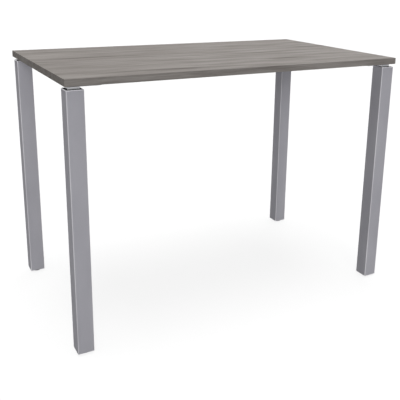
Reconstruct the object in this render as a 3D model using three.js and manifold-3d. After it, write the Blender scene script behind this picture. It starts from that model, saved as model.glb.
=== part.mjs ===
// Standing meeting table: a woodgrain board, edged all round, on four square posts.
// Each post hangs from the board by a screwed plate and a small spacer block, which
// leaves a shadow gap under the board, and stands on a screw-adjusted levelling foot.
// Millimetres, +Z up, origin on the floor under the middle of the board.
// +X runs along the board, -Y is the front, so -X is the left-hand end.

import * as THREE from 'three';
import { mergeVertices } from 'three/addons/utils/BufferGeometryUtils.js';
import Module from 'manifold-3d';

// The table as a whole
const TABLE_LENGTH = 1400;
const TABLE_WIDTH = 800;
const TABLE_HEIGHT = 1000;

// The board and the strips glued round its edges
const BOARD_THICKNESS = 25;
const BAND_THICKNESS = 2;
const BAND_EDGE_RADIUS = 1;

// The posts
const POST_SIDE = 60;
const POST_WALL = 3;
const POST_CORNER_RADIUS = 3.2;
const POST_BORE_RADIUS = 1.5;
const POST_RIM_RADIUS = 2;
const POST_INSET = 5;
const SHADOW_GAP = 12;
const HEAD_POCKET_DEPTH = 3;
const HEAD_PLATE_THICKNESS = 8;

// The cap that closes the top of a post round its spacer
const CAP_THICKNESS = 2.6;

// The spacer block between a post and its mounting plate
const SPACER_LENGTH = 40;
const SPACER_WIDTH = 28;

// The mounting plate under the board
const PLATE_THICKNESS = 5;
const PLATE_LENGTH = 114;
const PLATE_WIDTH = 90;
const PLATE_CHAMFER = 45;
const PLATE_CORNER_RADIUS = 4;
const SCREW_MARGIN = 13;
const SCREW_CHAMFER_STEP = 3;

// The countersunk bolts that join plate, spacer and post
const BOLT_DIAMETER = 8;
const BOLT_HEAD_DIAMETER = 15;
const BOLT_SPACING = 22;
const BOLT_TIP_REACH = 3;
const BOLT_SOCKET_ACROSS = 5;
const BOLT_SOCKET_DEPTH = 2.6;

// The wood screws that hold the plate to the board
const SCREW_DIAMETER = 5;
const SCREW_BITE = 17;
const SCREW_POINT = 5;
const SCREW_HEAD_DIAMETER = 10;
const SCREW_HEAD_HEIGHT = 3;
const SCREW_SLOT_LENGTH = 4.6;
const SCREW_SLOT_WIDTH = 1.1;
const SCREW_SLOT_DEPTH = 1.6;
const PILOT_SPARE_DEPTH = 1;

// The plug in the foot of a post
const PLUG_BASE_THICKNESS = 5;
const PLUG_BOSS_DIAMETER = 22;
const PLUG_HEIGHT = 38;
const PLUG_RIB_THICKNESS = 3;
const PLUG_RIB_HEIGHT = 26;

// The levelling stud with its hexagon foot, and the sole that it turns on
const STUD_DIAMETER = 10;
const STUD_LENGTH = 46;
const STUD_TIP_CHAMFER = 1.2;
const STUD_HEX_ACROSS = 24;
const STUD_HEX_HEIGHT = 4.4;
const STUD_PEG_DIAMETER = 9;
const STUD_PEG_LENGTH = 2;
const SOLE_DIAMETER = 38;
const SOLE_THICKNESS = 3.6;
const SOLE_CHAMFER = 0.8;

// Clearances
const FIT_GAP = 0.3;
const SEAT_GAP = 0.3;

// Facets of the round pieces
const HOLE_SIDES = 12;
const TURNED_SIDES = 16;
const CORNER_STEPS = 3;

// Heights worked out from the sizes above
const BOARD_UNDERSIDE = TABLE_HEIGHT - BOARD_THICKNESS;
const PLATE_UNDERSIDE = BOARD_UNDERSIDE - PLATE_THICKNESS;
const POST_TOP = BOARD_UNDERSIDE - SHADOW_GAP;
const HEAD_SEAT = POST_TOP - HEAD_POCKET_DEPTH;
const HEAD_UNDERSIDE = HEAD_SEAT - HEAD_PLATE_THICKNESS;
const HEX_UNDERSIDE = SOLE_THICKNESS + SEAT_GAP;
const HEX_TOP = HEX_UNDERSIDE + STUD_HEX_HEIGHT;
const POST_BOTTOM = HEX_TOP + SEAT_GAP;

// Sides of the openings inside a post
const BORE_SIDE = POST_SIDE - 2 * POST_WALL;
const INSERT_SIDE = BORE_SIDE - 2 * FIT_GAP;
const INSERT_RADIUS = POST_BORE_RADIUS;

// Where the board's core ends and its edge strips begin
const CORE_LENGTH = TABLE_LENGTH - 2 * BAND_THICKNESS;
const CORE_WIDTH = TABLE_WIDTH - 2 * BAND_THICKNESS;

// The axis of a post, counted from the middle of the table
const POST_X = TABLE_LENGTH / 2 - POST_INSET - POST_SIDE / 2;
const POST_Y = TABLE_WIDTH / 2 - POST_INSET - POST_SIDE / 2;

// The four corners. Inside a corner's group +x and +y both point to the middle of the table.
const CORNERS = [
  { name: 'front_left', x: -1, y: -1 },
  { name: 'front_right', x: 1, y: -1 },
  { name: 'rear_left', x: -1, y: 1 },
  { name: 'rear_right', x: 1, y: 1 },
];

// Plate and screw places in a corner's group, from the axis of its post
const PLATE_LOW_X = -SPACER_LENGTH / 2;
const PLATE_LOW_Y = -SPACER_WIDTH / 2;
const PLATE_HIGH_X = PLATE_LOW_X + PLATE_LENGTH;
const PLATE_HIGH_Y = PLATE_LOW_Y + PLATE_WIDTH;
const SCREW_PLACES = [
  [PLATE_HIGH_X - SCREW_MARGIN, PLATE_LOW_Y + SCREW_MARGIN],
  [PLATE_HIGH_X - SCREW_MARGIN, PLATE_HIGH_Y - PLATE_CHAMFER - SCREW_CHAMFER_STEP],
  [PLATE_HIGH_X - PLATE_CHAMFER - SCREW_CHAMFER_STEP, PLATE_HIGH_Y - SCREW_MARGIN],
  [PLATE_LOW_X + SCREW_MARGIN, PLATE_HIGH_Y - SCREW_MARGIN],
];
const BOLT_PLACES = [
  [-BOLT_SPACING / 2, 0],
  [BOLT_SPACING / 2, 0],
];

const wasm = await Module();
wasm.setup();

// Finishes
function finish(color, roughness, metalness) {
  return new THREE.MeshStandardMaterial({ color, roughness, metalness });
}

const greyOak = finish(0x97938f, 0.55, 0);
const greyOakEdge = finish(0x97938f, 0.55, 0);
const silverPaint = finish(0xb2b1b8, 0.45, 0.15);
const bareSilver = finish(0xc2c2c4, 0.35, 0.9);
const blackPlastic = finish(0x141415, 0.6, 0);
const zincSteel = finish(0xbebfc1, 0.35, 0.9);
const greyNylon = finish(0x8b8b8f, 0.6, 0);

// Solids for joining and cutting
function solidOf(geometry) {
  geometry.deleteAttribute('normal');
  geometry.deleteAttribute('uv');
  const merged = mergeVertices(geometry);
  const vertProperties = Float32Array.from(merged.attributes.position.array);
  const triVerts = Uint32Array.from(merged.index.array);
  return new wasm.Manifold(new wasm.Mesh({ numProp: 3, vertProperties, triVerts }));
}

function geometryOf(solid) {
  const { vertProperties, triVerts } = solid.getMesh();
  const geometry = new THREE.BufferGeometry();
  geometry.setAttribute('position', new THREE.BufferAttribute(vertProperties, 3));
  geometry.setIndex(new THREE.BufferAttribute(triVerts, 1));
  geometry.computeVertexNormals();
  return geometry;
}

function cut(solid, tools) {
  return tools.reduce((left, tool) => left.subtract(tool), solid);
}

function join(solids) {
  return solids.reduce((whole, piece) => whole.add(piece));
}

// A rectangle with round corners, centred on the axis
function roundedRectangle(length, width, radius) {
  const halfLength = length / 2;
  const halfWidth = width / 2;
  const shape = new THREE.Shape();
  shape.moveTo(-halfLength + radius, -halfWidth);
  shape.lineTo(halfLength - radius, -halfWidth);
  shape.absarc(halfLength - radius, -halfWidth + radius, radius, -Math.PI / 2, 0);
  shape.lineTo(halfLength, halfWidth - radius);
  shape.absarc(halfLength - radius, halfWidth - radius, radius, 0, Math.PI / 2);
  shape.lineTo(-halfLength + radius, halfWidth);
  shape.absarc(-halfLength + radius, halfWidth - radius, radius, Math.PI / 2, Math.PI);
  shape.lineTo(-halfLength, -halfWidth + radius);
  shape.absarc(-halfLength + radius, -halfWidth + radius, radius, Math.PI, 1.5 * Math.PI);
  return shape;
}

// A flat outline raised from one height to another
function prism(shape, low, high) {
  const options = { depth: high - low, bevelEnabled: false, curveSegments: CORNER_STEPS };
  return solidOf(new THREE.ExtrudeGeometry(shape, options).translate(0, 0, low));
}

function block(length, width, low, high, x = 0, y = 0) {
  const height = high - low;
  return solidOf(new THREE.BoxGeometry(length, width, height).translate(x, y, low + height / 2));
}

// A round or many-sided rod along Z, whose diameter is measured across its flats
function rod(across, low, high, x = 0, y = 0, sides = HOLE_SIDES) {
  const radius = across / 2 / Math.cos(Math.PI / sides);
  const geometry = new THREE.CylinderGeometry(radius, radius, high - low, sides);
  return solidOf(geometry.rotateX(Math.PI / 2).translate(x, y, (low + high) / 2));
}

// A turned piece along Z from its profile of [radius, height] points, which begins and ends on the axis
function turned(profile, sides = TURNED_SIDES) {
  const points = profile.map(([radius, height]) => new THREE.Vector2(radius, height));
  return solidOf(new THREE.LatheGeometry(points, sides).rotateX(Math.PI / 2));
}

// The board's core, with a blind pilot hole for every screw
function boardCore() {
  const pilotTop = BOARD_UNDERSIDE + SCREW_BITE + PILOT_SPARE_DEPTH;
  const pilots = CORNERS.flatMap((corner) => SCREW_PLACES.map(([x, y]) => rod(
    SCREW_DIAMETER + 2 * FIT_GAP,
    BOARD_UNDERSIDE - PILOT_SPARE_DEPTH,
    pilotTop,
    corner.x * (POST_X - x),
    corner.y * (POST_Y - y),
  )));
  return cut(block(CORE_LENGTH, CORE_WIDTH, BOARD_UNDERSIDE, TABLE_HEIGHT), pilots);
}

// One edge strip along X, its outer face towards -Y with round edges, its inner face at y = 0
function edgeBand(length) {
  const half = BOARD_THICKNESS / 2;
  const radius = BAND_EDGE_RADIUS;
  const section = new THREE.Shape();
  section.moveTo(0, -half);
  section.lineTo(0, half);
  section.lineTo(-BAND_THICKNESS + radius, half);
  section.absarc(-BAND_THICKNESS + radius, half - radius, radius, Math.PI / 2, Math.PI);
  section.lineTo(-BAND_THICKNESS, -half + radius);
  section.absarc(-BAND_THICKNESS + radius, -half + radius, radius, Math.PI, 1.5 * Math.PI);
  section.closePath();
  const strip = prism(section, -length / 2, length / 2);
  return geometryOf(strip).rotateX(Math.PI / 2).rotateZ(Math.PI / 2);
}

// A square tube with a plate across it near the top, tapped for the bolts, and a rounded rim
function post() {
  const outline = roundedRectangle(POST_SIDE, POST_SIDE, POST_CORNER_RADIUS);
  const bodyHeight = POST_TOP - POST_BOTTOM;
  const tube = new THREE.ExtrudeGeometry(outline, {
    depth: bodyHeight,
    bevelEnabled: true,
    bevelThickness: POST_RIM_RADIUS,
    bevelSize: POST_RIM_RADIUS,
    bevelOffset: -POST_RIM_RADIUS,
    bevelSegments: CORNER_STEPS,
    curveSegments: CORNER_STEPS,
  }).translate(0, 0, POST_BOTTOM - POST_RIM_RADIUS);
  const below = block(2 * POST_SIDE, 2 * POST_SIDE, POST_BOTTOM - 2 * POST_SIDE, POST_BOTTOM);
  const bore = roundedRectangle(BORE_SIDE, BORE_SIDE, POST_BORE_RADIUS);
  const taps = BOLT_PLACES.map(([x, y]) => rod(
    BOLT_DIAMETER + 2 * FIT_GAP, HEAD_UNDERSIDE - FIT_GAP, HEAD_SEAT + FIT_GAP, x, y));
  return cut(solidOf(tube), [
    below,
    prism(bore, POST_BOTTOM - POST_SIDE, HEAD_UNDERSIDE),
    prism(bore, HEAD_SEAT, POST_TOP + POST_SIDE),
    ...taps,
  ]);
}

// The cap, with a window for the spacer
function postCap() {
  const outline = roundedRectangle(INSERT_SIDE, INSERT_SIDE, INSERT_RADIUS);
  const top = HEAD_SEAT + CAP_THICKNESS;
  const window = block(
    SPACER_LENGTH + 2 * FIT_GAP, SPACER_WIDTH + 2 * FIT_GAP, HEAD_SEAT - FIT_GAP, top + FIT_GAP);
  return cut(prism(outline, HEAD_SEAT, top), [window]);
}

function spacerBlock() {
  const holes = BOLT_PLACES.map(([x, y]) => rod(
    BOLT_DIAMETER + 2 * FIT_GAP, HEAD_SEAT - FIT_GAP, PLATE_UNDERSIDE + FIT_GAP, x, y));
  return cut(block(SPACER_LENGTH, SPACER_WIDTH, HEAD_SEAT, PLATE_UNDERSIDE), holes);
}

// The mounting plate: a rectangle with one corner cut off on the slant
function mountingPlate() {
  const corner = PLATE_CORNER_RADIUS;
  const outline = new THREE.Shape();
  outline.moveTo(PLATE_LOW_X + corner, PLATE_LOW_Y);
  outline.lineTo(PLATE_HIGH_X - corner, PLATE_LOW_Y);
  outline.absarc(PLATE_HIGH_X - corner, PLATE_LOW_Y + corner, corner, -Math.PI / 2, 0);
  outline.lineTo(PLATE_HIGH_X, PLATE_HIGH_Y - PLATE_CHAMFER);
  outline.lineTo(PLATE_HIGH_X - PLATE_CHAMFER, PLATE_HIGH_Y);
  outline.lineTo(PLATE_LOW_X + corner, PLATE_HIGH_Y);
  outline.absarc(PLATE_LOW_X + corner, PLATE_HIGH_Y - corner, corner, Math.PI / 2, Math.PI);
  outline.lineTo(PLATE_LOW_X, PLATE_LOW_Y + corner);
  outline.absarc(PLATE_LOW_X + corner, PLATE_LOW_Y + corner, corner, Math.PI, 1.5 * Math.PI);
  const screwHoles = SCREW_PLACES.map(([x, y]) => rod(
    SCREW_DIAMETER + 2 * FIT_GAP, PLATE_UNDERSIDE - FIT_GAP, BOARD_UNDERSIDE + FIT_GAP, x, y));
  const boltHoles = BOLT_PLACES.map(([x, y]) => rod(
    BOLT_DIAMETER + 2 * FIT_GAP, PLATE_UNDERSIDE - FIT_GAP, BOARD_UNDERSIDE + FIT_GAP, x, y));
  const sinks = BOLT_PLACES.map(([x, y]) => boltCone(2 * FIT_GAP, FIT_GAP).translate([x, y, 0]));
  return cut(prism(outline, PLATE_UNDERSIDE, BOARD_UNDERSIDE), [...screwHoles, ...boltHoles, ...sinks]);
}

// The right-angled cone under a bolt's flat head, widened for its seat and raised past it
function boltCone(widening, rise) {
  const head = BOLT_HEAD_DIAMETER / 2 + widening;
  const coneHeight = (BOLT_HEAD_DIAMETER - BOLT_DIAMETER) / 2;
  const top = BOARD_UNDERSIDE - SEAT_GAP;
  return turned([
    [0, top - coneHeight - BOLT_DIAMETER / 2 - widening],
    [head, top],
    [head, top + rise + SEAT_GAP],
    [0, top + rise + SEAT_GAP],
  ], HOLE_SIDES);
}

function headBolt() {
  const head = BOLT_HEAD_DIAMETER / 2;
  const shank = BOLT_DIAMETER / 2;
  const top = BOARD_UNDERSIDE - SEAT_GAP;
  const tip = HEAD_UNDERSIDE - BOLT_TIP_REACH;
  const body = turned([
    [0, tip],
    [shank - SEAT_GAP, tip],
    [shank, tip + shank - SEAT_GAP],
    [shank, top - (head - shank)],
    [head, top],
    [0, top],
  ], HOLE_SIDES);
  return cut(body, [rod(BOLT_SOCKET_ACROSS, top - BOLT_SOCKET_DEPTH, top + BOLT_SOCKET_DEPTH, 0, 0, 6)]);
}

// A pan-head wood screw, point upwards, with a cross slot in its head
function boardScrew() {
  const shank = SCREW_DIAMETER / 2;
  const head = SCREW_HEAD_DIAMETER / 2;
  const seat = PLATE_UNDERSIDE;
  const low = seat - SCREW_HEAD_HEIGHT;
  const tip = BOARD_UNDERSIDE + SCREW_BITE;
  const body = turned([
    [0, low],
    [head * Math.SQRT1_2, low],
    [head, low + SCREW_HEAD_HEIGHT / 2],
    [head, seat],
    [shank, seat],
    [shank, tip - SCREW_POINT],
    [0, tip],
  ], HOLE_SIDES);
  const slotLow = low - SCREW_SLOT_DEPTH;
  const slotHigh = low + SCREW_SLOT_DEPTH;
  return cut(body, [
    block(SCREW_SLOT_LENGTH, SCREW_SLOT_WIDTH, slotLow, slotHigh),
    block(SCREW_SLOT_WIDTH, SCREW_SLOT_LENGTH, slotLow, slotHigh),
  ]);
}

// The foot plug: a base across the post, a threaded boss and four ribs
function footPlug() {
  const top = POST_BOTTOM + PLUG_HEIGHT;
  const outline = roundedRectangle(INSERT_SIDE, INSERT_SIDE, INSERT_RADIUS);
  const base = prism(outline, POST_BOTTOM, POST_BOTTOM + PLUG_BASE_THICKNESS);
  const boss = rod(PLUG_BOSS_DIAMETER, POST_BOTTOM, top, 0, 0, TURNED_SIDES);
  const ribTop = POST_BOTTOM + PLUG_RIB_HEIGHT;
  const ribs = [
    block(INSERT_SIDE, PLUG_RIB_THICKNESS, POST_BOTTOM, ribTop),
    block(PLUG_RIB_THICKNESS, INSERT_SIDE, POST_BOTTOM, ribTop),
  ];
  const threadDiameter = STUD_DIAMETER + 2 * FIT_GAP;
  const thread = rod(threadDiameter, POST_BOTTOM - FIT_GAP, top + FIT_GAP, 0, 0, TURNED_SIDES);
  return cut(join([base, boss, ...ribs]), [thread]);
}

// The levelling stud: a hexagon to turn it by, a threaded shank above and a peg below
function levellingStud() {
  const shank = STUD_DIAMETER / 2;
  const peg = STUD_PEG_DIAMETER / 2;
  const tip = HEX_TOP + STUD_LENGTH;
  const middle = (HEX_UNDERSIDE + HEX_TOP) / 2;
  const spindle = turned([
    [0, HEX_UNDERSIDE - STUD_PEG_LENGTH],
    [peg, HEX_UNDERSIDE - STUD_PEG_LENGTH],
    [peg, middle],
    [shank, middle],
    [shank, tip - STUD_TIP_CHAMFER],
    [shank - STUD_TIP_CHAMFER, tip],
    [0, tip],
  ]);
  return join([spindle, rod(STUD_HEX_ACROSS, HEX_UNDERSIDE, HEX_TOP, 0, 0, 6)]);
}

// The sole: a flat disc with a socket for the stud's peg
function glideSole() {
  const radius = SOLE_DIAMETER / 2;
  const socket = STUD_PEG_DIAMETER / 2 / Math.cos(Math.PI / TURNED_SIDES) + FIT_GAP;
  const socketFloor = HEX_UNDERSIDE - STUD_PEG_LENGTH - SEAT_GAP;
  return turned([
    [0, 0],
    [radius - SOLE_CHAMFER, 0],
    [radius, SOLE_CHAMFER],
    [radius, SOLE_THICKNESS - SOLE_CHAMFER],
    [radius - SOLE_CHAMFER, SOLE_THICKNESS],
    [socket, SOLE_THICKNESS],
    [socket, socketFloor],
    [0, socketFloor],
  ]);
}

function addPiece(group, name, geometry, material, x = 0, y = 0, z = 0) {
  const piece = new THREE.Mesh(geometry, material);
  piece.name = name;
  piece.position.set(x, y, z);
  group.add(piece);
  return piece;
}

const table = new THREE.Group();
table.name = 'standing_meeting_table';

// The board and its four edge strips: the long strips cover the ends of the short ones
const boardMiddle = TABLE_HEIGHT - BOARD_THICKNESS / 2;
addPiece(table, 'board_core', geometryOf(boardCore()), greyOak);
const longBand = edgeBand(TABLE_LENGTH);
const shortBand = edgeBand(CORE_WIDTH);
const bandX = CORE_LENGTH / 2;
const bandY = CORE_WIDTH / 2;
addPiece(table, 'edge_band_front', longBand, greyOakEdge, 0, -bandY, boardMiddle);
const rearBand = addPiece(table, 'edge_band_rear', longBand, greyOakEdge, 0, bandY, boardMiddle);
rearBand.rotation.z = Math.PI;
const leftBand = addPiece(table, 'edge_band_left', shortBand, greyOakEdge, -bandX, 0, boardMiddle);
leftBand.rotation.z = -Math.PI / 2;
const rightBand = addPiece(table, 'edge_band_right', shortBand, greyOakEdge, bandX, 0, boardMiddle);
rightBand.rotation.z = Math.PI / 2;

// One corner: post, cap, spacer, plate, bolts, screws, plug and levelling foot
const postShape = geometryOf(post());
const capShape = geometryOf(postCap());
const spacerShape = geometryOf(spacerBlock());
const plateShape = geometryOf(mountingPlate());
const boltShape = geometryOf(headBolt());
const screwShape = geometryOf(boardScrew());
const plugShape = geometryOf(footPlug());
const studShape = geometryOf(levellingStud());
const soleShape = geometryOf(glideSole());

for (const corner of CORNERS) {
  const group = new THREE.Group();
  group.position.set(corner.x * POST_X, corner.y * POST_Y, 0);
  group.scale.set(-corner.x, -corner.y, 1);
  addPiece(group, `post_${corner.name}`, postShape, silverPaint);
  addPiece(group, `post_cap_${corner.name}`, capShape, blackPlastic);
  addPiece(group, `spacer_${corner.name}`, spacerShape, bareSilver);
  addPiece(group, `plate_${corner.name}`, plateShape, silverPaint);
  BOLT_PLACES.forEach(([x, y], i) => {
    addPiece(group, `bolt_${corner.name}_${i + 1}`, boltShape, zincSteel, x, y);
  });
  SCREW_PLACES.forEach(([x, y], i) => {
    addPiece(group, `screw_${corner.name}_${i + 1}`, screwShape, zincSteel, x, y);
  });
  addPiece(group, `foot_plug_${corner.name}`, plugShape, blackPlastic);
  addPiece(group, `foot_stud_${corner.name}`, studShape, zincSteel);
  addPiece(group, `foot_sole_${corner.name}`, soleShape, greyNylon);
  table.add(group);
}

export default table;
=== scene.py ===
# %% [markdown]
# A standing meeting table. A grey woodgrain board is carried at its four corners by square
# silver posts. A small bright block holds each post a finger's breadth below the board, and a
# screw foot levels it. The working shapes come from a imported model, which is loaded first and
# never moved. This lesson dresses it: it rebuilds the pieces that need softer edges, and gives
# every surface its finish.

# %% Load the working model
import math
import random

import bpy
import bmesh
from mathutils import Matrix, Vector


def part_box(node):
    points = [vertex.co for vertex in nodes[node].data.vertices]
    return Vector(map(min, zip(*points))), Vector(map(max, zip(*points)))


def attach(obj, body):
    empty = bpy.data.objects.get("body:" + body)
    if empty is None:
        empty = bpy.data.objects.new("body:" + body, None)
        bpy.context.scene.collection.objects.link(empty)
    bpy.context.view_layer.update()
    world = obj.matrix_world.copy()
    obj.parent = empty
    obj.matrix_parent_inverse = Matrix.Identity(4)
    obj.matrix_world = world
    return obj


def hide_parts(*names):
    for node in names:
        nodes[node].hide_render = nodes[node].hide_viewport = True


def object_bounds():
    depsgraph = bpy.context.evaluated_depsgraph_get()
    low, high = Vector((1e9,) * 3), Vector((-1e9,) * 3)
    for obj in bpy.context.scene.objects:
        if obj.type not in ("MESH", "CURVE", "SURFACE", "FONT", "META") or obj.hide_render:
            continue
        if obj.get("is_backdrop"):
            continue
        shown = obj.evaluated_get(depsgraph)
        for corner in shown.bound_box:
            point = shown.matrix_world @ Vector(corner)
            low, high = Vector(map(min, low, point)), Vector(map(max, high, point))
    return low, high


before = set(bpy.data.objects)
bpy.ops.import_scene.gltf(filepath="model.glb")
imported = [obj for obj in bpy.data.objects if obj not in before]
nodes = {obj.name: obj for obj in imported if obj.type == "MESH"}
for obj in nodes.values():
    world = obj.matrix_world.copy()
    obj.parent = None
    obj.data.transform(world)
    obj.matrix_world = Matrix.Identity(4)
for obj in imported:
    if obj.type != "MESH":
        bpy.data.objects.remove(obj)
cad_low, cad_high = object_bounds()
table_size = cad_high - cad_low
print("working model:", len(nodes), "nodes,", [round(side, 4) for side in table_size], "m")

# %% [markdown]
# Each corner of the table carries the same pieces, so most steps below run once per corner.
# The axis of a post is read from its box in the working model.

# %% The four corners
MM = 0.001
CORNERS = ("front_left", "front_right", "rear_left", "rear_right")


def middle_of(node):
    low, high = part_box(node)
    return (low + high) / 2


post_axis = {corner: middle_of(f"post_{corner}").xy.to_3d() for corner in CORNERS}
for corner, axis in post_axis.items():
    print("post axis", corner, [round(value, 4) for value in axis.xy])

# %% [markdown]
# Finishes come before pieces, so that each piece can be given its finish when it is made. Colours
# are given on the usual 0 to 255 screen scale. A shader reckons in linear light, so each value is
# taken off the screen's curve here: a short straight toe, and a power above it.

# %% Colours on the screen's scale
SCREEN_FULL = 255
TOE_END = 0.04045
TOE_SLOPE = 12.92
CURVE_LIFT = 0.055
CURVE_POWER = 2.4


def linear_light(value):
    share = value / SCREEN_FULL
    if share <= TOE_END:
        return share / TOE_SLOPE
    return ((share + CURVE_LIFT) / (1 + CURVE_LIFT)) ** CURVE_POWER


def screen_colour(red, green, blue):
    return (linear_light(red), linear_light(green), linear_light(blue), 1.0)


print("half way up the screen's scale is", round(linear_light(SCREEN_FULL / 2), 3), "in linear light")

# %% [markdown]
# A finish is a small graph of nodes round one Principled shader. These helpers start such a graph,
# add a node with its values, set a socket or join it to another, and do arithmetic on sockets.

# %% Helpers for nodes
def start_finish(name):
    finish = bpy.data.materials.new(name)
    finish.use_nodes = True
    return finish, finish.node_tree, finish.node_tree.nodes["Principled BSDF"]


def put(tree, kind, values=None, **settings):
    node = tree.nodes.new("ShaderNode" + kind)
    for setting, value in settings.items():
        setattr(node, setting, value)
    for socket, value in (values or {}).items():
        node.inputs[socket].default_value = value
    return node


def feed(tree, value, socket):
    if isinstance(value, bpy.types.NodeSocket):
        tree.links.new(value, socket)
    else:
        socket.default_value = value


def calc(tree, operation, first, second=0.0):
    node = put(tree, "Math", operation=operation)
    feed(tree, first, node.inputs[0])
    feed(tree, second, node.inputs[1])
    return node.outputs["Value"]


print("node helpers ready")

# %% [markdown]
# Most of the detail is noise, stretched to the scale of the grain, flake or pit that it stands for.
# The next helpers make it, move it to another span of values, turn it into colour, and press it into
# the surface as relief.

# %% Helpers for noise, colour and relief
EVEN_NOISE = 0.5
STRONG_NOISE = 0.6
PLAIN_DETAIL = 1.0
SOFT_DETAIL = 2.0
FINE_DETAIL = 3.0


def noise(tree, where, stretch, detail, roughness=EVEN_NOISE):
    mapping = put(tree, "Mapping", {"Scale": stretch})
    tree.links.new(where, mapping.inputs["Vector"])
    texture = put(tree, "TexNoise", {"Scale": 1.0, "Detail": detail, "Roughness": roughness})
    tree.links.new(mapping.outputs["Vector"], texture.inputs["Vector"])
    return texture.outputs["Fac"]


def remap(tree, value, low, high, new_low, new_high, smooth=False):
    limits = {"From Min": low, "From Max": high, "To Min": new_low, "To Max": new_high}
    node = put(tree, "MapRange", limits, interpolation_type="SMOOTHSTEP" if smooth else "LINEAR")
    tree.links.new(value, node.inputs["Value"])
    return node.outputs["Result"]


def colour_ramp(tree, value, stops):
    node = put(tree, "ValToRGB")
    elements = node.color_ramp.elements
    while len(elements) < len(stops):
        elements.new(1.0)
    for element, (place, colour) in zip(elements, stops):
        element.position = place
        element.color = colour
    tree.links.new(value, node.inputs["Fac"])
    return node.outputs["Color"]


def relief(tree, height, shader, depth, strength):
    bump = put(tree, "Bump", {"Distance": depth, "Strength": strength})
    tree.links.new(height, bump.inputs["Height"])
    tree.links.new(bump.outputs["Normal"], shader.inputs["Normal"])


print("noise helpers ready")

# %% [markdown]
# The board is faced with a matt grey oak print. It could be drawn flat on the top alone, but the
# edge strips carry the same wood round the corner, so the grain is worked out in space: long along
# the board, narrow across it and through its thickness. A slow wander bends the lines a little,
# broad streaks a hand's breadth apart give the light and dark, and fine lines and short pores lie
# over them.

# %% The grain of the oak
GRAIN_WANDER = 0.022
WANDER_STRETCH = (1.6, 3.0, 3.0)
BROAD_STRETCH = (2.3, 27.0, 27.0)
DASH_STRETCH = (5.5, 75.0, 75.0)
LINE_STRETCH = (8.0, 300.0, 300.0)
PORE_STRETCH = (55.0, 1500.0, 1500.0)


def grain_place(tree):
    where = put(tree, "TexCoord").outputs["Object"]
    wander = noise(tree, where, WANDER_STRETCH, SOFT_DETAIL)
    aside = remap(tree, wander, 0.0, 1.0, -GRAIN_WANDER, GRAIN_WANDER)
    offset = put(tree, "CombineXYZ")
    tree.links.new(aside, offset.inputs["Y"])
    bent = put(tree, "VectorMath", operation="ADD")
    tree.links.new(where, bent.inputs[0])
    tree.links.new(offset.outputs["Vector"], bent.inputs[1])
    return bent.outputs["Vector"]


print("grain lines wander by up to", GRAIN_WANDER, "m")

# %% [markdown]
# A printed decor repeats the same few dark streaks on every board, so these have fixed places. Each
# is a long soft ellipse: the distance from its middle, counted in its own lengths and widths, fades
# it out. The numbers are its middle on the board, half its length, half its width and its depth.

# %% The dark streaks of the print
DARK_STREAKS = (
    ((-0.47, 0.07), 0.20, 0.022, 0.30),
    ((-0.33, -0.325), 0.34, 0.018, 0.26),
    ((0.25, -0.035), 0.17, 0.020, 0.22),
    ((0.37, 0.20), 0.24, 0.020, 0.22),
    ((0.60, 0.085), 0.15, 0.018, 0.24),
    ((0.27, -0.225), 0.14, 0.016, 0.24),
)
STREAK_FADE = 1.3


def dark_streaks(tree, where):
    total = 0.0
    for (along, across), half_length, half_width, depth in DARK_STREAKS:
        centred = put(tree, "VectorMath", {1: (along, across, 0.0)}, operation="SUBTRACT")
        tree.links.new(where, centred.inputs[0])
        share = (1 / half_length, 1 / half_width, 0.0)
        scaled = put(tree, "VectorMath", {1: share}, operation="MULTIPLY")
        tree.links.new(centred.outputs["Vector"], scaled.inputs[0])
        away = put(tree, "VectorMath", operation="LENGTH")
        tree.links.new(scaled.outputs["Vector"], away.inputs[0])
        streak = remap(tree, away.outputs["Value"], 0.0, STREAK_FADE, depth, 0.0, smooth=True)
        total = calc(tree, "ADD", streak, total)
    return total


print("dark streaks:", len(DARK_STREAKS))

# %% [markdown]
# The layers add up to one tone between dark and light, and a colour ramp turns the tone into the
# warm greys of the print. The same lines and pores press a shallow texture into the surface, and
# the pores are duller than the wood between them.

# %% Grey oak
OAK_DARK = screen_colour(100, 94, 90)
OAK_MIDDLE = screen_colour(153, 148, 144)
OAK_LIGHT = screen_colour(181, 177, 173)
WIDE_SPAN = (0.25, 0.75)
PORE_SPAN = (0.60, 0.70)
BROAD_SHADE = 0.16
DASH_SHADE = 0.09
LINE_SHADE = 0.13
PORE_SHADE = 0.10
MEAN_TONE = 0.41
OAK_ROUGHNESS = (0.70, 0.60)
OAK_SHEEN = 0.008
PORE_DEPTH = 0.12 * MM
OAK_RELIEF = 0.35


def shade(tree, value, reach):
    return remap(tree, value, *WIDE_SPAN, -reach, reach)


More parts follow.
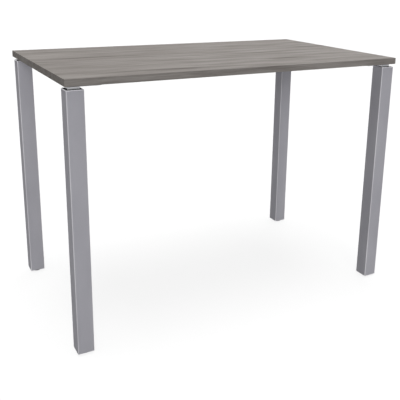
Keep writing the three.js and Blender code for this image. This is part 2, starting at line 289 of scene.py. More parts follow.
def oak_finish(name):
    finish, tree, shader = start_finish(name)
    where = grain_place(tree)
    broad = shade(tree, noise(tree, where, BROAD_STRETCH, SOFT_DETAIL), BROAD_SHADE)
    dashes = shade(tree, noise(tree, where, DASH_STRETCH, SOFT_DETAIL), DASH_SHADE)
    line = noise(tree, where, LINE_STRETCH, FINE_DETAIL, STRONG_NOISE)
    lines = shade(tree, line, LINE_SHADE)
    speck = noise(tree, where, PORE_STRETCH, PLAIN_DETAIL)
    pore = remap(tree, speck, *PORE_SPAN, 0.0, 1.0, smooth=True)
    tone = calc(tree, "ADD", calc(tree, "ADD", broad, dashes), calc(tree, "ADD", lines, MEAN_TONE))
    tone = calc(tree, "SUBTRACT", tone, dark_streaks(tree, where))
    tone = calc(tree, "SUBTRACT", tone, calc(tree, "MULTIPLY", pore, PORE_SHADE))
    stops = ((0.0, OAK_DARK), (0.5, OAK_MIDDLE), (1.0, OAK_LIGHT))
    tree.links.new(colour_ramp(tree, tone, stops), shader.inputs["Base Color"])
    tree.links.new(remap(tree, tone, 0.0, 1.0, *OAK_ROUGHNESS), shader.inputs["Roughness"])
    shader.inputs["Specular IOR Level"].default_value = OAK_SHEEN
    relief(tree, calc(tree, "SUBTRACT", line, pore), shader, PORE_DEPTH, OAK_RELIEF)
    return finish


grey_oak = oak_finish("grey_oak")
print(grey_oak.name, "nodes:", len(grey_oak.node_tree.nodes))

# %% [markdown]
# The posts and plates are sprayed with a fine-textured silver-grey powder and baked. Up close the
# coat is a field of tiny metal flakes in paint with a slight orange peel, and from a step away it
# is an even cool grey. The flakes give it a soft metal sheen, so the shader is partly metal. The
# ridges of a post carry a painted highlight, a paler colour laid along their rounds. The rounded rim
# of its head gets the same painted highlight and is also made more metallic. Two values that the
# mesh carries along, ridge and rim, say where that is.

# %% Silver powder coat
FLAKE_STRETCH = (1900.0, 1900.0, 1900.0)
PEEL_STRETCH = (620.0, 620.0, 620.0)
CLOUD_STRETCH = (9.0, 9.0, 3.0)
PAINT_DARK = screen_colour(169, 168, 175)
PAINT_MIDDLE = screen_colour(179, 178, 185)
PAINT_LIGHT = screen_colour(189, 188, 194)
# The palest colour is a painted highlight, laid on the ridges and rims of the posts.
PAINT_HIGHLIGHT = screen_colour(236, 235, 239)
RIDGE_HIGHLIGHT_ATTRIBUTE = "ridge"
RIM_HIGHLIGHT_ATTRIBUTE = "rim"
HIGHLIGHT_SHARE = 0.5
FLAKE_METAL = 0.15
RIM_METAL = 0.85
CLOUD_SHADE = 0.12
NOISE_SPAN = (0.3, 0.7)
PAINT_ROUGHNESS = (0.40, 0.50)
PAINT_SHEEN = 0.0
PEEL_DEPTH = 0.06 * MM
PEEL_RELIEF = 0.30


def powder_coat(name):
    finish, tree, shader = start_finish(name)
    where = put(tree, "TexCoord").outputs["Object"]
    flake = noise(tree, where, FLAKE_STRETCH, PLAIN_DETAIL)
    peel = noise(tree, where, PEEL_STRETCH, SOFT_DETAIL)
    drift = noise(tree, where, CLOUD_STRETCH, SOFT_DETAIL)
    cloud = remap(tree, drift, *NOISE_SPAN, -CLOUD_SHADE, CLOUD_SHADE)
    ridge = put(tree, "Attribute", attribute_name=RIDGE_HIGHLIGHT_ATTRIBUTE).outputs["Fac"]
    rim = put(tree, "Attribute", attribute_name=RIM_HIGHLIGHT_ATTRIBUTE).outputs["Fac"]
    # Ridge and rim lift the colour towards the palest one: a painted highlight.
    painted_highlight = calc(tree, "MULTIPLY", calc(tree, "MAXIMUM", ridge, rim), HIGHLIGHT_SHARE)
    tone = calc(tree, "ADD", calc(tree, "ADD", flake, cloud), painted_highlight)
    stops = ((0.25, PAINT_DARK), (0.5, PAINT_MIDDLE), (0.75, PAINT_LIGHT), (1.0, PAINT_HIGHLIGHT))
    tree.links.new(colour_ramp(tree, tone, stops), shader.inputs["Base Color"])
    tree.links.new(remap(tree, rim, 0.0, 1.0, FLAKE_METAL, RIM_METAL), shader.inputs["Metallic"])
    tree.links.new(remap(tree, peel, *NOISE_SPAN, *PAINT_ROUGHNESS), shader.inputs["Roughness"])
    shader.inputs["Specular IOR Level"].default_value = PAINT_SHEEN
    relief(tree, peel, shader, PEEL_DEPTH, PEEL_RELIEF)
    return finish


silver_paint = powder_coat("silver_paint")
print(silver_paint.name, "nodes:", len(silver_paint.node_tree.nodes))

# %% [markdown]
# The spacer block is bare aluminium, rubbed along its length so that it shows fine parallel
# scratches. The bolts, screws and studs are steel with bright zinc on them, which clouds a little.
# Both are pure metals, so their colour is the colour of what they reflect.

# %% Bare metals
BRUSH_STRETCH = (60.0, 2400.0, 2400.0)
ZINC_STRETCH = (420.0, 420.0, 420.0)
METAL_RELIEF = 0.25


def two_tones(tree, value, dark, light):
    low, high = NOISE_SPAN
    return colour_ramp(tree, value, ((low, dark), (high, light)))


def metal_finish(name, dark, light, stretch, smooth, rough, depth):
    finish, tree, shader = start_finish(name)
    where = put(tree, "TexCoord").outputs["Object"]
    mark = noise(tree, where, stretch, FINE_DETAIL, STRONG_NOISE)
    tree.links.new(two_tones(tree, mark, dark, light), shader.inputs["Base Color"])
    tree.links.new(remap(tree, mark, *NOISE_SPAN, rough, smooth), shader.inputs["Roughness"])
    shader.inputs["Metallic"].default_value = 1.0
    relief(tree, mark, shader, depth, METAL_RELIEF)
    return finish


bare_silver = metal_finish(
    "bare_silver", dark=screen_colour(174, 175, 178), light=screen_colour(202, 202, 204),
    stretch=BRUSH_STRETCH, smooth=0.30, rough=0.42, depth=0.03 * MM)
zinc_steel = metal_finish(
    "zinc_steel", dark=screen_colour(172, 176, 182), light=screen_colour(206, 206, 203),
    stretch=ZINC_STRETCH, smooth=0.24, rough=0.36, depth=0.02 * MM)
print("metals:", bare_silver.name, zinc_steel.name)

# %% [markdown]
# The cap in the head of a post and the plug in its foot are black mouldings with a fine spark
# texture. The sole under each foot is grey nylon, a little waxy and slightly mottled.

# %% Moulded plastics
SPARK_STRETCH = (1300.0, 1300.0, 1300.0)
NYLON_STRETCH = (700.0, 700.0, 700.0)
PITS_PER_CLOUD = 12
MOULD_SHEEN = 0.2
MOULD_RELIEF = 0.4


def moulded_finish(name, dark, light, stretch, smooth, rough, depth):
    finish, tree, shader = start_finish(name)
    where = put(tree, "TexCoord").outputs["Object"]
    pit = noise(tree, where, stretch, SOFT_DETAIL, STRONG_NOISE)
    cloud = noise(tree, where, tuple(value / PITS_PER_CLOUD for value in stretch), SOFT_DETAIL)
    tree.links.new(two_tones(tree, cloud, dark, light), shader.inputs["Base Color"])
    tree.links.new(remap(tree, pit, *NOISE_SPAN, smooth, rough), shader.inputs["Roughness"])
    shader.inputs["Specular IOR Level"].default_value = MOULD_SHEEN
    relief(tree, pit, shader, depth, MOULD_RELIEF)
    return finish


black_plastic = moulded_finish(
    "black_plastic", dark=screen_colour(16, 16, 17), light=screen_colour(25, 25, 26),
    stretch=SPARK_STRETCH, smooth=0.50, rough=0.66, depth=0.05 * MM)
grey_nylon = moulded_finish(
    "grey_nylon", dark=screen_colour(134, 134, 138), light=screen_colour(148, 148, 151),
    stretch=NYLON_STRETCH, smooth=0.42, rough=0.55, depth=0.04 * MM)
print("plastics:", black_plastic.name, grey_nylon.name)

# %% [markdown]
# Most pieces are lofts: a row of closed rings with the same number of points, skinned by quads. One
# helper skins the rings and closes the two ends, or joins the last ring to the first where the
# piece has a hole through it. Another makes the mesh: it turns all faces outwards and shades them
# smooth except at real corners.

# %% Helpers for lofts
SHARP_ANGLE = math.radians(35)


def skin(rings, hole=False):
    count = len(rings[0])
    points = [point for ring in rings for point in ring]
    faces = []
    last = len(rings) - 1
    pairs = [(index, index + 1) for index in range(last)]
    if hole:
        pairs.append((last, 0))
    for first, second in pairs:
        for step in range(count):
            after = (step + 1) % count
            faces.append((first * count + step, first * count + after,
                          second * count + after, second * count + step))
    if not hole:
        faces.append(tuple(range(count)))
        faces.append(tuple(range(last * count, len(rings) * count)))
    return points, faces


def mesh_from(name, points, faces):
    mesh = bpy.data.meshes.new(name)
    mesh.from_pydata(points, [], faces)
    shape = bmesh.new()
    shape.from_mesh(mesh)
    bmesh.ops.recalc_face_normals(shape, faces=shape.faces)
    shape.to_mesh(mesh)
    shape.free()
    mesh.shade_smooth()
    mesh.set_sharp_from_angle(angle=SHARP_ANGLE)
    return mesh


print("corners above", round(math.degrees(SHARP_ANGLE)), "degrees stay sharp")

# %% [markdown]
# A new piece gets its finish, rides on the body that it moves with, and stands for the node that it
# dresses. A node that keeps its own shape is only painted. Where flat faces meet small rounds, the
# large faces decide how the light turns, so that they look flat right up to their edges.

# %% Helpers for pieces
FACE_WEIGHT = 100


def place_piece(name, mesh, finish, body, stands_for, where=None):
    piece = bpy.data.objects.new(name, mesh)
    bpy.context.scene.collection.objects.link(piece)
    if where is not None:
        piece.matrix_world = where
    if not mesh.materials:
        mesh.materials.append(finish)
    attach(piece, body)
    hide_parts(stands_for)
    return piece


def paint_node(node, finish):
    piece = nodes[node]
    piece.data.materials.clear()
    piece.data.materials.append(finish)
    return piece


def even_faces(piece):
    weighted = piece.modifiers.new("even_faces", "WEIGHTED_NORMAL")
    weighted.keep_sharp = True
    weighted.weight = FACE_WEIGHT
    return piece


print("piece helpers ready")

# %% [markdown]
# The core of the board keeps its shape from the working model, with the blind holes for the screws
# on its underside, and only takes the grey oak.

# %% Board
board = paint_node("board_core", grey_oak)
print(board.name, "keeps its shape and takes", grey_oak.name)

# %% [markdown]
# The four edge strips of the board are rebuilt. Each is a ring swept along its side, two millimetres
# thick, with its long edges rounded by a scraper. The front and rear strips run the whole length, so
# near their ends the ring shrinks along a quarter circle, which rounds off the table's upright
# corners too.

# %% Rings of an edge strip
BAND_EDGE_RADIUS = 1.0 * MM
LEAST_BAND_RADIUS = 0.02 * MM
ARC_STEPS = 5


def quarter(steps):
    return [math.pi / 2 * step / steps for step in range(steps + 1)]


def strip_ring(along, depth, half_height, radius):
    ring = [(along, 0.0, -half_height), (along, 0.0, half_height)]
    for angle in quarter(ARC_STEPS):
        ring.append((along, -depth + radius - radius * math.sin(angle),
                     half_height - radius + radius * math.cos(angle)))
    for angle in quarter(ARC_STEPS):
        ring.append((along, -depth + radius - radius * math.cos(angle),
                     -half_height + radius - radius * math.sin(angle)))
    return ring


def strip_rings(length, depth, height, round_ends):
    rings = []
    if round_ends:
        for angle in quarter(ARC_STEPS):
            inset = BAND_EDGE_RADIUS * (1 - math.sin(angle))
            along = -length / 2 + BAND_EDGE_RADIUS * (1 - math.cos(angle))
            corner = max(BAND_EDGE_RADIUS - inset, LEAST_BAND_RADIUS)
            rings.append(strip_ring(along, depth - inset, height / 2 - inset, corner))
        mirrored = [[(-x, y, z) for x, y, z in ring] for ring in reversed(rings)]
        return rings + mirrored
    return [strip_ring(side * length / 2, depth, height / 2, BAND_EDGE_RADIUS) for side in (-1, 1)]


print("edge strips are rounded by", BAND_EDGE_RADIUS, "m")

# %% [markdown]
# The rings lie along the front of the board. For the other sides they are swung round, and each strip
# is set with its inner face against the core.

# %% Edge strips
SIDE_TURNS = {"front": 0, "right": 90, "rear": 180, "left": 270}
for side, turn in SIDE_TURNS.items():
    node = f"edge_band_{side}"
    low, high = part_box(node)
    size = high - low
    depth = min(size.x, size.y)
    swing = Matrix.Rotation(math.radians(turn), 4, "Z")
    inner_face = (low + high) / 2 - swing @ Vector((0, -depth / 2, 0))
    rings = strip_rings(max(size.x, size.y), depth, size.z, side in ("front", "rear"))
    points, faces = skin([[(swing @ Vector(point)) + inner_face for point in ring] for ring in rings])
    strip = place_piece(f"edge_strip_{side}", mesh_from(f"edge_strip_{side}", points, faces),
                        grey_oak, "table", node)
    even_faces(strip)
    print(strip.name, "faces:", len(faces))

# %% [markdown]
# A post is square steel tube with softly rounded corners and a rounded rim. Its rings are squares with
# a quarter circle at each corner. Where an edge is rounded, a few rings follow the round, each a
# little smaller or larger than the last.

# %% Rings of a post
POST_WALL = 3.0 * MM
POST_CORNER_RADIUS = 3.2 * MM
POST_BORE_RADIUS = 1.5 * MM
POST_RIM_RADIUS = 2.0 * MM
POST_BURR_RADIUS = 0.4 * MM
HEAD_PLATE_THICKNESS = 8.0 * MM
LEAST_CORNER = 0.2 * MM
CORNER_STEPS = 7
SQUARE_SIDES = 4


def rounded_ring(half_x, half_y, radius, height):
    ring = []
    for turn in range(SQUARE_SIDES):
        facing = math.pi / 2 * turn
        swap = turn % 2
        reach_x = (half_y if swap else half_x) - radius
        reach_y = (half_x if swap else half_y) - radius
        for angle in quarter(CORNER_STEPS):
            x = reach_x + radius * math.cos(angle)
            y = reach_y + radius * math.sin(angle)
            ring.append((x * math.cos(facing) - y * math.sin(facing),
                         x * math.sin(facing) + y * math.cos(facing), height))
    return ring


def edge_round(half_x, half_y, corner, height, radius, outwards, upwards):
    rings = []
    for angle in quarter(ARC_STEPS):
        inset = radius * (1 - math.sin(angle))
        drop = radius * (1 - math.cos(angle))
        change = -inset if outwards else inset
        level = height - drop if upwards else height + drop
        eased = max(corner + change, LEAST_CORNER)
        rings.append(rounded_ring(half_x + change, half_y + change, eased, level))
    return rings


post_low, post_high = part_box("post_front_left")
post_half = (post_high.x - post_low.x) / 2
bore_half = post_half - POST_WALL
head_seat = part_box("spacer_front_left")[0].z
print("post side", round(2 * post_half, 4), "from", round(post_low.z, 4), "to", round(post_high.z, 4))

# %% [markdown]
# A plate is welded across the post just below the top, and the bolts pull the post up by that plate.
# So a post is one loft: from the middle of the plate out to the pocket's wall, up and over the rim,
# down the outside, round the lower end, and up the bore to the underside of the plate.

# %% Posts
RIM_BAND = 3.0 * MM


def post_rings():
    outside = (post_half, post_half, POST_CORNER_RADIUS)
    inside = (bore_half, bore_half, POST_BORE_RADIUS)
    rim = edge_round(*outside, post_high.z, POST_RIM_RADIUS, outwards=True, upwards=True)
    lip = edge_round(*inside, post_high.z, POST_BURR_RADIUS, outwards=False, upwards=True)
    heel = edge_round(*outside, post_low.z, POST_BURR_RADIUS, outwards=True, upwards=False)
    mouth = edge_round(*inside, post_low.z, POST_BURR_RADIUS, outwards=False, upwards=False)
    below_rim = rounded_ring(*outside, post_high.z - RIM_BAND)
    seat = rounded_ring(*inside, head_seat)
    ceiling = rounded_ring(*inside, head_seat - HEAD_PLATE_THICKNESS)
    return [seat, *reversed(lip), *rim, below_rim, *reversed(heel), *mouth, ceiling]


def at_axis(corner):
    return Matrix.Translation(post_axis[corner])


def moved(rings, matrix):
    return [[matrix @ Vector(point) for point in ring] for ring in rings]


posts = {}
for corner in CORNERS:
    points, faces = skin(moved(post_rings(), at_axis(corner)))
    name = f"painted_post_{corner}"
    posts[corner] = place_piece(name, mesh_from(name, points, faces), silver_paint,
                                "table", f"post_{corner}")
    even_faces(posts[corner])
print("posts:", len(posts), "faces each:", len(faces))

# %% [markdown]
# The painted highlight is marked on the points of the mesh. On the round of a corner the ridge
# value is highest half way between its two faces. The rim value climbs from nothing at a ring just
# below the rim to its full height, and the paint's nodes read both and lighten the colour there.

# %% Painted highlights on ridges and rims
RIM_REACH = 1.8


# These values say where the painted highlight goes on each post.
def mark_painted_highlights(mesh, axis):
    flat = post_half - POST_CORNER_RADIUS
    ridges = []
    rims = []
    for vertex in mesh.vertices:
        x = abs(vertex.co.x - axis.x) - flat
        y = abs(vertex.co.y - axis.y) - flat
        ridges.append(max(math.sin(2 * math.atan2(y, x)), 0.0) if x > 0 and y > 0 else 0.0)
        climb = RIM_REACH * ((vertex.co.z - post_high.z) / RIM_BAND + 1)
        rims.append(min(max(climb, 0.0), 1.0))
    for attribute, values in ((RIDGE_HIGHLIGHT_ATTRIBUTE, ridges), (RIM_HIGHLIGHT_ATTRIBUTE, rims)):
        mesh.attributes.new(attribute, "FLOAT", "POINT").data.foreach_set("value", values)


for corner, post in posts.items():
    mark_painted_highlights(post.data, post_axis[corner])
print("marked", len(posts), "posts with", RIDGE_HIGHLIGHT_ATTRIBUTE, "and", RIM_HIGHLIGHT_ATTRIBUTE)

# %% [markdown]
# The black cap lies on the welded plate and closes the head of the post round the spacer block. It
# has a window through it, so its rings run from the outer edge over the top to the window and back
# underneath, and the last ring joins the first.

# %% Caps in the post heads
CAP_EDGE = 0.5 * MM
WINDOW_CORNER = 1.2 * MM
FIT_GAP = 0.3 * MM

cap_low, cap_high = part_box("post_cap_front_left")
block_low, block_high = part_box("spacer_front_left")
cap_half = (cap_high.x - cap_low.x) / 2
block_half_x = (block_high.x - block_low.x) / 2
block_half_y = (block_high.y - block_low.y) / 2


def cap_rings():
    outline = (cap_half, cap_half, POST_BORE_RADIUS)
    window = (block_half_x + FIT_GAP, block_half_y + FIT_GAP, WINDOW_CORNER)
    outer = edge_round(*outline, cap_high.z, CAP_EDGE, outwards=True, upwards=True)
    inner = edge_round(*window, cap_high.z, CAP_EDGE, outwards=False, upwards=True)
    outer_foot = rounded_ring(*outline, cap_low.z)
    inner_foot = rounded_ring(*window, cap_low.z)
    return [outer_foot, *reversed(outer), *inner, inner_foot]


for corner in CORNERS:
    points, faces = skin(moved(cap_rings(), at_axis(corner)), hole=True)
    name = f"head_cap_{corner}"
    cap = place_piece(name, mesh_from(name, points, faces), black_plastic,
                      "table", f"post_cap_{corner}")
    even_faces(cap)
print("caps:", len(CORNERS), "faces each:", len(faces))

# %% [markdown]
# The spacer block stands through the cap's window and carries the mounting plate. It is sawn from
# aluminium bar, so its upright edges are only eased and its flat ends are broken with a file.

# %% Spacer blocks
BLOCK_CORNER = 1.0 * MM
BLOCK_EDGE = 0.4 * MM


def block_rings():
    outline = (block_half_x, block_half_y, BLOCK_CORNER)
    top = edge_round(*outline, block_high.z, BLOCK_EDGE, outwards=True, upwards=True)
    foot = edge_round(*outline, block_low.z, BLOCK_EDGE, outwards=True, upwards=False)
    return [*top, *reversed(foot)]


for corner in CORNERS:
    points, faces = skin(moved(block_rings(), at_axis(corner)))
    name = f"spacer_block_{corner}"
    spacer = place_piece(name, mesh_from(name, points, faces), bare_silver,
                         "table", f"spacer_{corner}")
    even_faces(spacer)
print("spacer blocks:", len(CORNERS), "faces each:", len(faces))

# %% [markdown]
# The mounting plates are cut from five millimetre steel and painted like the posts. Their outline
# and holes are already right in the working model, so they stay, with their doubled points welded
# and a small bevel on every sharp edge. The bolts between plate and post stay as well, in zinc.

# %% Plates, bolts and foot plugs
PLATE_EDGE = 0.5 * MM
PLUG_EDGE = 0.3 * MM
BEVEL_SEGMENTS = 2
WELD_REACH = 0.01 * MM
BOLTS_PER_PLATE = 2


def dress_node(node, finish, edge):
    piece = paint_node(node, finish)
    weld = piece.modifiers.new("weld", "WELD")
    weld.merge_threshold = WELD_REACH
    bevel = piece.modifiers.new("edges", "BEVEL")
    bevel.width = edge
    bevel.segments = BEVEL_SEGMENTS
    bevel.limit_method = "ANGLE"
    bevel.angle_limit = SHARP_ANGLE
    return even_faces(piece)


dressed = []
for corner in CORNERS:
    dressed.append(dress_node(f"plate_{corner}", silver_paint, PLATE_EDGE))
    dressed.append(dress_node(f"foot_plug_{corner}", black_plastic, PLUG_EDGE))
    for bolt in range(1, BOLTS_PER_PLATE + 1):
        dressed.append(paint_node(f"bolt_{corner}_{bolt}", zinc_steel))
print("dressed in place:", len(dressed), "nodes")

# %% [markdown]
# Screws and soles are turned on a lathe. Their profile is a row of radii and heights, and each pair
# becomes a round ring for the loft. A radius of nothing would pinch the ring to a point, so the
# middle of a piece keeps a hole too small to see, which the end face closes.

# %% Helpers for turned pieces
TURNED_SIDES = 40
CLOSE_RADIUS = 0.02 * MM


def turned_rings(profile):
    angles = [2 * math.pi * step / TURNED_SIDES for step in range(TURNED_SIDES)]
    rings = []
    for radius, height in profile:
        reach = max(radius, CLOSE_RADIUS)
        rings.append([(reach * math.cos(angle), reach * math.sin(angle), height) for angle in angles])
    return rings


print("turned pieces have", TURNED_SIDES, "sides")

# %% [markdown]
# Sixteen wood screws hold the plates. Their domed heads are all that shows, so the profile of one
# screw is a dome, a plain shank and a point.

# %% Profile of a wood screw
SCREW_SHANK = 2.5 * MM
SCREW_POINT = 5.0 * MM
DOME_STEPS = 7
DOME_SHARE = 0.75
screw_low, screw_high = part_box("screw_front_left_1")
head_radius = (screw_high.x - screw_low.x) / 2
head_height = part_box("plate_front_left")[0].z - screw_low.z


def screw_profile():
    length = screw_high.z - screw_low.z
    dome = []
    for angle in quarter(DOME_STEPS):
        dome.append((head_radius * math.sin(angle), head_height * DOME_SHARE * (1 - math.cos(angle))))
    return [*dome, (head_radius, head_height), (SCREW_SHANK, head_height),
            (SCREW_SHANK, length - SCREW_POINT), (0.0, length)]


screw_blank = mesh_from("wood_screw", *skin(turned_rings(screw_profile())))
print("screw head", round(2 * head_radius, 4), "m across and", round(head_height, 4), "m high")

# %% [markdown]
# The cross for the driver is two tapered bars, crossed and cut out of the head. Cutting leaves a few
# points almost on top of each other, which are merged.

# %% Cross in the screw head
CROSS_LENGTH = 5.4 * MM
CROSS_WIDTH = 1.3 * MM
CROSS_DEPTH = 1.8 * MM
CROSS_TAPER = 0.55
CUT_MERGE = 0.002 * MM
SQUARE = ((-1, -1), (1, -1), (1, 1), (-1, 1))


def cross_arm(turn):
    swing = Matrix.Rotation(turn, 4, "Z")
    rings = []
    for height, share in ((-CROSS_DEPTH, 1.0), (CROSS_DEPTH, CROSS_TAPER)):
        half_length = CROSS_LENGTH / 2 * share
        half_width = CROSS_WIDTH / 2 * share
        rings.append([swing @ Vector((x * half_length, y * half_width, height)) for x, y in SQUARE])
    return skin(rings)


def cut_away(mesh, cutters):
    body = bpy.data.objects.new("being_cut", mesh)
    bpy.context.scene.collection.objects.link(body)
    tools = []
    for points, faces in cutters:
        tool = bpy.data.objects.new("cutter", mesh_from("cutter", points, faces))
        bpy.context.scene.collection.objects.link(tool)
        tools.append(tool)
        cut = body.modifiers.new("cut", "BOOLEAN")
        cut.operation = "DIFFERENCE"
        cut.object = tool
    finished = body.evaluated_get(bpy.context.evaluated_depsgraph_get())
    result = bpy.data.meshes.new_from_object(finished)
    for helper in (body, *tools):
        bpy.data.objects.remove(helper)
    shape = bmesh.new()
    shape.from_mesh(result)
    bmesh.ops.remove_doubles(shape, verts=shape.verts, dist=CUT_MERGE)
    bmesh.ops.dissolve_degenerate(shape, edges=shape.edges, dist=CUT_MERGE)
    shape.to_mesh(result)
    shape.free()
    result.set_sharp_from_angle(angle=SHARP_ANGLE)
    return result


screw_mesh = cut_away(screw_blank, [cross_arm(0.0), cross_arm(math.pi / 2)])
print("faces of a screw with its cross:", len(screw_mesh.polygons))

# %% [markdown]
# Every place gets that same mesh at its own chance angle, as a driver leaves it. The chance is seeded,
# so that the table is the same each time.

# %% Wood screws
SCREWS_PER_PLATE = 4
SCREW_SEED = 7

chance = random.Random(SCREW_SEED)
for corner in CORNERS:
    for place in range(1, SCREWS_PER_PLATE + 1):
        node = f"screw_{corner}_{place}"
        foot = middle_of(node).xy.to_3d() + Vector((0, 0, screw_low.z))
        where = Matrix.Translation(foot) @ Matrix.Rotation(chance.uniform(0, math.pi), 4, "Z")
        place_piece(f"wood_{node}", screw_mesh, zinc_steel, "table", node, where)
print("wood screws:", SCREWS_PER_PLATE * len(CORNERS))

# %% [markdown]
# The levelling stud is a hexagon with a metric thread above it and a short peg below, on which it
# turns in the sole. The thread is a real helix: the radius of each point falls and rises with its
# height in the pitch, shifted by one pitch per turn. Only a little of it shows, when the foot is
# screwed out.

# %% Rings of a levelling stud
STUD_SIDES = 48
THREAD_PITCH = 1.5 * MM
THREAD_DEPTH = 0.9 * MM
THREAD_STEPS = 8
FLANK_SLOPE = 1.25
CREST_SHARE = 0.1
STUD_RADIUS = 5.0 * MM
STUD_TIP_CHAMFER = 1.2 * MM
HEX_SIDES = 6
HEX_HEIGHT = 4.4 * MM
HEX_EDGE = 0.5 * MM
PEG_RADIUS = 4.5 * MM
PEG_LENGTH = 2.0 * MM
PEG_EDGE = 0.3 * MM
stud_low, stud_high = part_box("foot_stud_front_left")
hex_across = min(stud_high.x - stud_low.x, stud_high.y - stud_low.y)
stud_height = stud_high.z - stud_low.z


def shaped_ring(height, radius_at):
    ring = []
    for step in range(STUD_SIDES):
        angle = 2 * math.pi * step / STUD_SIDES
        radius = radius_at(angle)
        ring.append((radius * math.cos(angle), radius * math.sin(angle), height))
    return ring


def round_ring(height, radius):
    return shaped_ring(height, lambda angle: radius)


def hexagon_ring(height, inset):
    facet = 2 * math.pi / HEX_SIDES
    reach = hex_across / 2 - inset

    def radius_at(angle):
        return reach / math.cos((angle + facet / 2) % facet - facet / 2)

    return shaped_ring(height, radius_at)


def thread_ring(height, start, end):
    fade = min(1.0, (height - start) / THREAD_PITCH, (end - height) / THREAD_PITCH)

    def radius_at(angle):
        place = (height / THREAD_PITCH - angle / (2 * math.pi)) % 1.0
        valley = FLANK_SLOPE * (1 - abs(2 * place - 1)) - CREST_SHARE
        return STUD_RADIUS - THREAD_DEPTH * max(0.0, min(1.0, valley)) * max(fade, 0.0)

    return shaped_ring(height, radius_at)


print("hexagon across its flats:", round(hex_across, 4), "m; stud", round(stud_height, 4), "m long")

# %% [markdown]
# From below, a stud is its peg, the hexagon with both its edges broken, the thread, and a chamfer that
# leads it into the plug. All four corners share one mesh, and each stud turns with its own body.

# %% Studs from peg to tip
def stud_rings():
    hex_foot = PEG_LENGTH
    hex_top = PEG_LENGTH + HEX_HEIGHT
    tip = stud_height - STUD_TIP_CHAMFER
    rings = [round_ring(0.0, PEG_RADIUS - PEG_EDGE), round_ring(PEG_EDGE, PEG_RADIUS)]
    rings += [round_ring(hex_foot, PEG_RADIUS), hexagon_ring(hex_foot, HEX_EDGE)]
    rings += [hexagon_ring(hex_foot + HEX_EDGE, 0.0), hexagon_ring(hex_top - HEX_EDGE, 0.0)]
    rings += [hexagon_ring(hex_top, HEX_EDGE), round_ring(hex_top, STUD_RADIUS)]
    count = round((tip - hex_top) / THREAD_PITCH * THREAD_STEPS)
    for step in range(1, count + 1):
        rings.append(thread_ring(hex_top + (tip - hex_top) * step / count, hex_top, tip))
    rings.append(round_ring(stud_height, STUD_RADIUS - STUD_TIP_CHAMFER))
    return rings


stud_mesh = mesh_from("levelling_stud", *skin(stud_rings()))
for corner in CORNERS:
    where = at_axis(corner) @ Matrix.Translation((0, 0, stud_low.z))
    place_piece(f"levelling_stud_{corner}", stud_mesh, zinc_steel,
                f"stud_{corner}", f"foot_stud_{corner}", where)
print("levelling studs:", len(CORNERS), "faces in the shared mesh:", len(stud_mesh.polygons))

# %% [markdown]
# The sole stays still on the floor while the stud turns in its socket. It is a turned nylon disc
# with well-rounded edges, so that the table slides without catching.

# %% Soles
SOLE_EDGE = 0.9 * MM
SOCKET_GAP = 0.35 * MM
SOCKET_FLOOR_GAP = 0.3 * MM
sole_low, sole_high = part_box("foot_sole_front_left")
sole_radius = (sole_high.x - sole_low.x) / 2
sole_height = sole_high.z - sole_low.z


def sole_profile():
    profile = [(0.0, 0.0)]
    for angle in quarter(ARC_STEPS):
        rise = SOLE_EDGE * (1 - math.cos(angle))
        profile.append((sole_radius - SOLE_EDGE * (1 - math.sin(angle)), rise))
    for angle in reversed(quarter(ARC_STEPS)):
        drop = SOLE_EDGE * (1 - math.cos(angle))
        profile.append((sole_radius - SOLE_EDGE * (1 - math.sin(angle)), sole_height - drop))
    socket = PEG_RADIUS + SOCKET_GAP
    socket_floor = stud_low.z - SOCKET_FLOOR_GAP
    return [*profile, (socket, sole_height), (socket, socket_floor), (0.0, socket_floor)]


sole_mesh = mesh_from("glide_sole", *skin(turned_rings(sole_profile())))
for corner in CORNERS:
    place_piece(f"glide_sole_{corner}", sole_mesh, grey_nylon,
                f"sole_{corner}", f"foot_sole_{corner}", at_axis(corner))
print("soles:", len(CORNERS), "faces in the shared mesh:", len(sole_mesh.polygons))

# %% [markdown]
# The table stands on a white studio floor that runs on past the picture. To the camera, and in
# reflections, the floor is plain white with a soft shadow of the table. To light that bounces about
# the room it is only grey, so that it doesn't flatten the posts. The feet can be wound out below the
# floor while the board stays still, so the floor is a clear sheet with a thin white veil: the white
# beneath shows through it, and so does a foot that is wound out.

# %% Paint of the floor
FLOOR_CLEAR = (0.85, 0.85, 0.85, 1.0)
FLOOR_VEIL = (0.20, 0.20, 0.20, 1.0)
FLOOR_BOUNCE = (0.26, 0.26, 0.26, 1.0)
WHITE = (1.0, 1.0, 1.0, 1.0)


def seen_directly(tree, path):
    mirrored = calc(tree, "MAXIMUM", path.outputs["Is Glossy Ray"], path.outputs["Is Transmission Ray"])
    return calc(tree, "MAXIMUM", path.outputs["Is Camera Ray"], mirrored)


def mix_shaders(tree, share, first, second):
    mixed = put(tree, "MixShader")
    tree.links.new(share, mixed.inputs["Fac"])
    tree.links.new(first, mixed.inputs[1])
    tree.links.new(second, mixed.inputs[2])
    return mixed.outputs["Shader"]


floor_paint = bpy.data.materials.new("studio_floor")
floor_paint.use_nodes = True
tree = floor_paint.node_tree
tree.nodes.clear()
path = put(tree, "LightPath")
bounce = put(tree, "BsdfDiffuse", {"Color": FLOOR_BOUNCE})
sheet = put(tree, "BsdfTransparent", {"Color": FLOOR_CLEAR})
veil = put(tree, "BsdfDiffuse", {"Color": FLOOR_VEIL})
veiled = put(tree, "AddShader")
tree.links.new(sheet.outputs["BSDF"], veiled.inputs[0])
tree.links.new(veil.outputs["BSDF"], veiled.inputs[1])
direct = seen_directly(tree, path)
looked_at = mix_shaders(tree, direct, bounce.outputs["BSDF"], veiled.outputs["Shader"])
window = put(tree, "BsdfTransparent", {"Color": WHITE})
lit_through = mix_shaders(tree, path.outputs["Is Shadow Ray"], looked_at, window.outputs["BSDF"])
tree.links.new(lit_through, put(tree, "OutputMaterial").inputs["Surface"])
print(floor_paint.name, "nodes:", len(tree.nodes))

# %% [markdown]
# The floor itself is one wide flat face. It belongs to the studio and not to the table, so it is
# marked as stage.

# %% Studio floor
FLOOR_REACH = 300.0

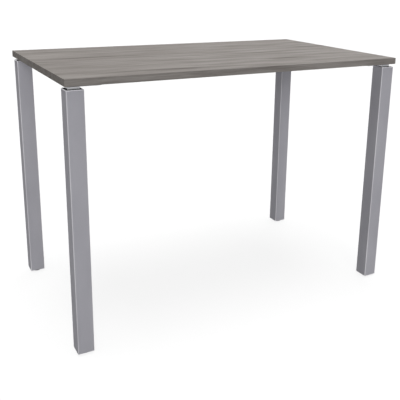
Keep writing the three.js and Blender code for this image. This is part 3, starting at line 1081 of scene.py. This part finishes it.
floor_corners = [(x * FLOOR_REACH, y * FLOOR_REACH, 0.0) for x, y in SQUARE]
floor_mesh = bpy.data.meshes.new("studio_floor")
floor_mesh.from_pydata(floor_corners, [], [(0, 1, 2, 3)])
floor_mesh.materials.append(floor_paint)
floor = bpy.data.objects.new("studio_floor", floor_mesh)
bpy.context.scene.collection.objects.link(floor)
floor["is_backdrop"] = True
print("floor reaches", FLOOR_REACH, "m each way")

# %% [markdown]
# The world beyond the floor follows the same rule: white where it is looked at or mirrored, and only
# a dim fill where it lights the table.

# %% World
AMBIENT = 0.10

world = bpy.data.worlds.new("studio")
bpy.context.scene.world = world
world.use_nodes = True
tree = world.node_tree
tree.nodes.clear()
dim = put(tree, "Background", {"Color": WHITE, "Strength": AMBIENT})
white = put(tree, "Background", {"Color": WHITE, "Strength": 1.0})
seen = seen_directly(tree, put(tree, "LightPath"))
around = mix_shaders(tree, seen, dim.outputs["Background"], white.outputs["Background"])
tree.links.new(around, put(tree, "OutputWorld").inputs["Surface"])
print("ambient light", AMBIENT)

# %% [markdown]
# Three soft boxes light the table. One hangs overhead and makes the board the brightest face. One
# stands low at the front, a little to the left, and shines in under the board, so that the fronts of
# the posts are middling and their left sides darker, with no hard shadow across them. A weaker one
# fills in low from behind on the right, so that the sides away from the camera aren't lost in the
# dark. Sun lamps with a wide angle stand in for the boxes, because they light near and far posts
# alike.

# %% Soft light
SOFT_BOXES = {
    "overhead_box": {"azimuth": 0, "elevation": 90, "light": 0.725, "angle": 40},
    "front_box": {"azimuth": 21, "elevation": 15, "light": 0.44, "angle": 30},
    "rear_box": {"azimuth": 225, "elevation": 12, "light": 0.30, "angle": 40},
}

for name, box in SOFT_BOXES.items():
    azimuth = math.radians(box["azimuth"])
    elevation = math.radians(box["elevation"])
    lamp = bpy.data.lights.new(name, "SUN")
    lamp.energy = math.pi * box["light"]
    lamp.angle = math.radians(box["angle"])
    stand = bpy.data.objects.new(name, lamp)
    towards = Vector((
        -math.sin(azimuth) * math.cos(elevation),
        -math.cos(azimuth) * math.cos(elevation),
        math.sin(elevation)))
    stand.rotation_mode = "QUATERNION"
    stand.rotation_quaternion = towards.to_track_quat("Z", "Y")
    bpy.context.scene.collection.objects.link(stand)
    print(name, "shines from", [round(value, 3) for value in towards])

# %% [markdown]
# The camera stands in front and to the left, a little above the board, and looks down at the table.
# The picture's middle is moved a little off the lens axis, which keeps the posts nearly upright.

# %% Camera
CAMERA_PLACE = Vector((-1.2200, -2.3453, 1.3337))
CAMERA_YAW = math.radians(29.141)
CAMERA_PITCH = math.radians(15.310)
CAMERA_ROLL = math.radians(1.036)
CAMERA_LENS = 56.52
CAMERA_SENSOR = 36.0
SHIFT_X = -0.05
SHIFT_Y = -0.14
SIGHT_REACH = 4 * FLOOR_REACH

level = Vector((math.sin(CAMERA_YAW), math.cos(CAMERA_YAW), 0))
sideways = Vector((math.cos(CAMERA_YAW), -math.sin(CAMERA_YAW), 0))
upright = Vector((0, 0, 1))
forward = level * math.cos(CAMERA_PITCH) - upright * math.sin(CAMERA_PITCH)
tilted = upright * math.cos(CAMERA_PITCH) + level * math.sin(CAMERA_PITCH)
right = sideways * math.cos(CAMERA_ROLL) + tilted * math.sin(CAMERA_ROLL)
above = tilted * math.cos(CAMERA_ROLL) - sideways * math.sin(CAMERA_ROLL)

lens = bpy.data.cameras.new("table_camera")
lens.sensor_width = CAMERA_SENSOR
lens.lens = CAMERA_LENS
lens.shift_x = SHIFT_X
lens.shift_y = SHIFT_Y
lens.clip_end = SIGHT_REACH
camera = bpy.data.objects.new("table_camera", lens)
facing = Matrix((right, above, -forward)).transposed()
camera.matrix_world = Matrix.Translation(CAMERA_PLACE) @ facing.to_4x4()
bpy.context.scene.collection.objects.link(camera)
bpy.context.scene.camera = camera
bpy.context.scene.view_settings.view_transform = "Standard"
print("camera looks along", [round(value, 3) for value in forward])

# %% [markdown]
# Last, the dressed table is measured, and its size is printed.

# %% Measure the dressed table
low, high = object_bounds()
print("dressed size", [round(value, 4) for value in high - low])
